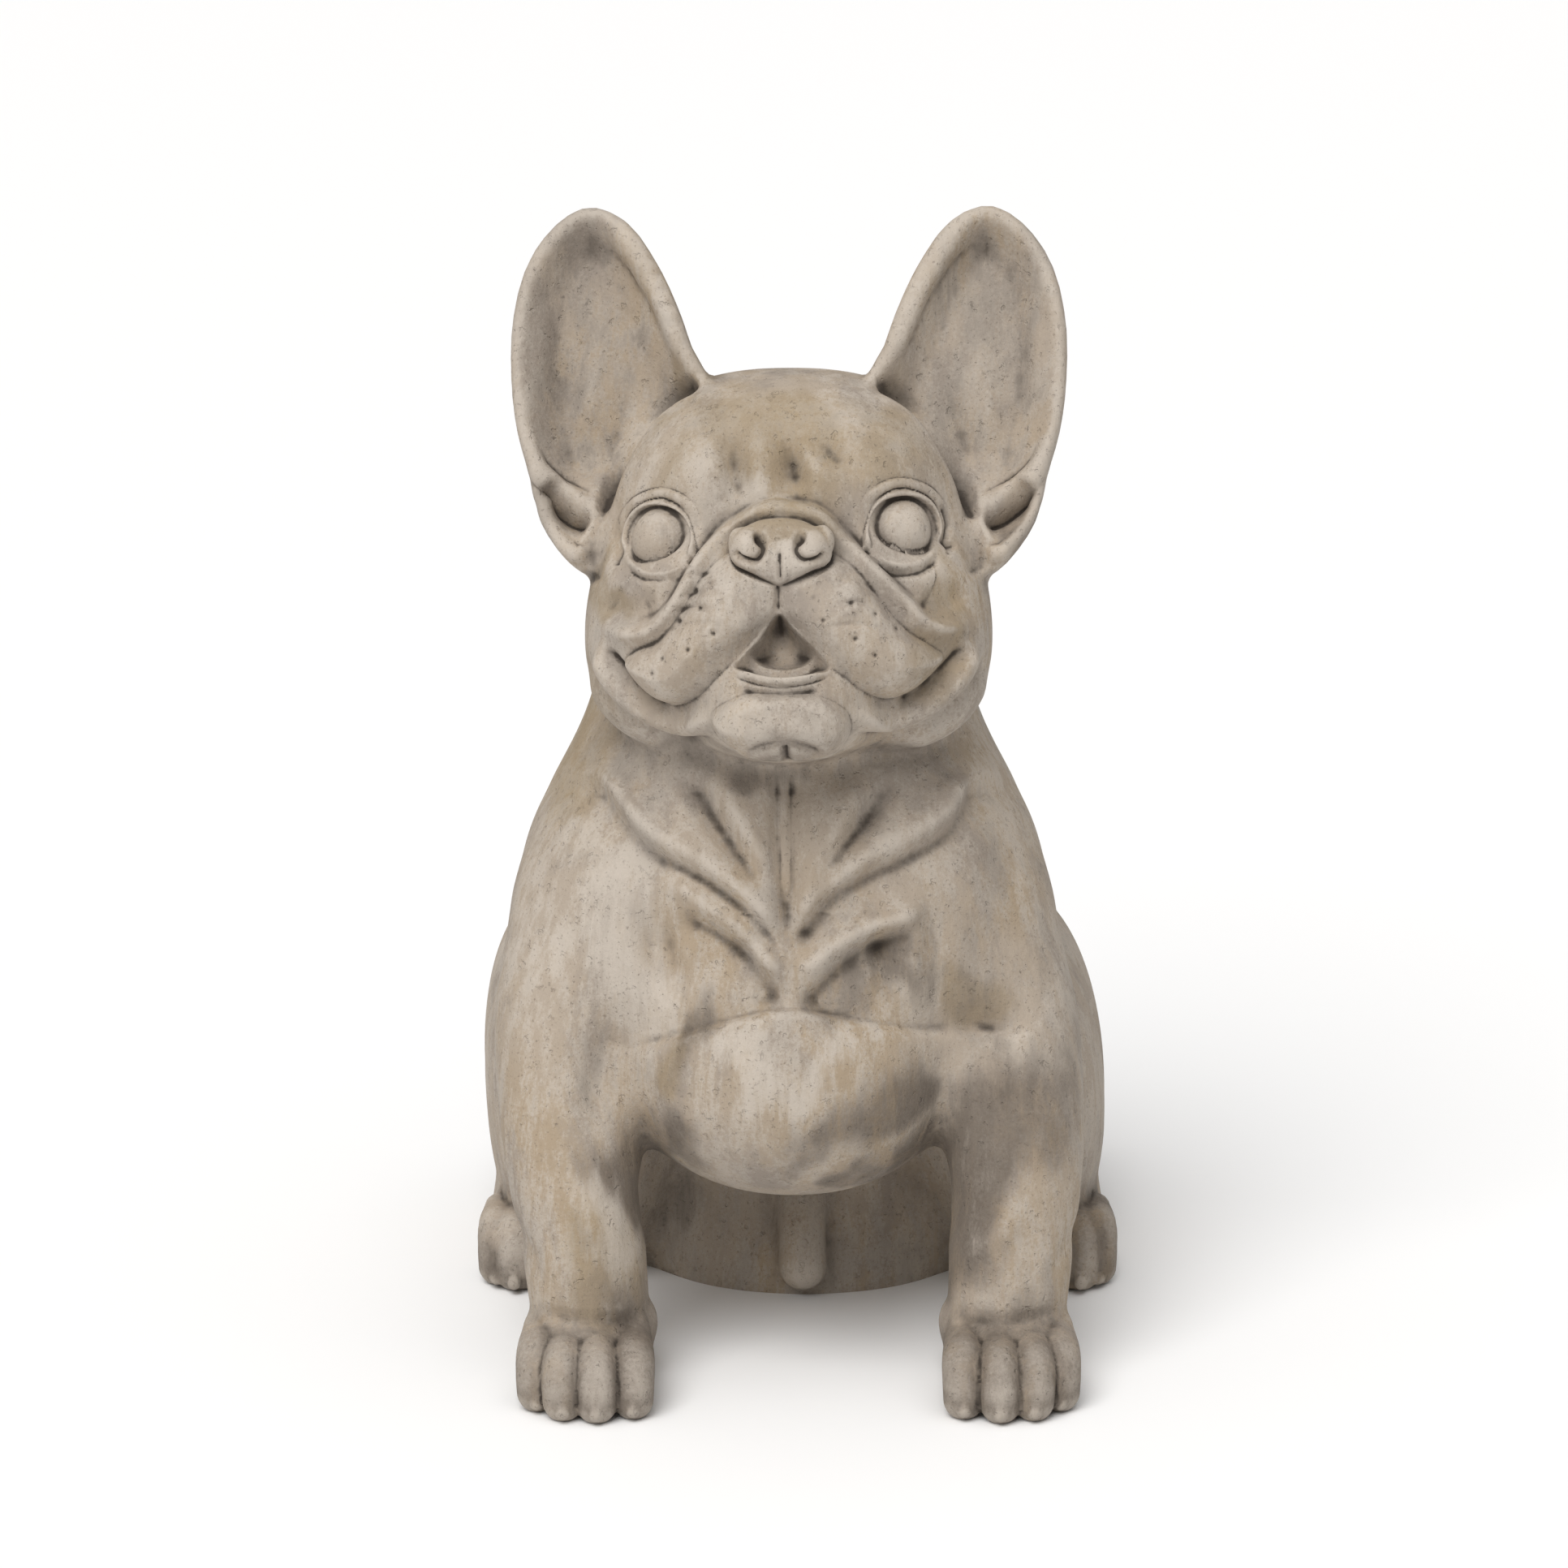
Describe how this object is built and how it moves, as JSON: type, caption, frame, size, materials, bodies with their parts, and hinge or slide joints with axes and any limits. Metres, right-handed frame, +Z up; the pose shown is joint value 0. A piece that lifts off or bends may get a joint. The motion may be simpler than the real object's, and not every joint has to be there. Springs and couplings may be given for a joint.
{
  "type": "seated bulldog statue",
  "caption": "Garden statue of a seated short-faced bulldog with upright bat ears, folded face and smiling mouth, cast in one piece of aged stone.",
  "frame": {"origin": "on the floor, under the middle of the figure's bounding box", "axes": "+Z up; the figure looks along -Y; +X to its left side"},
  "size_m": [0.268, 0.3493, 0.4605],
  "materials": {
    "aged_stone": "matte, weathered"
  },
  "bodies": {
    "root": {"bulldog": "aged_stone"}
  },
  "joints": []
}
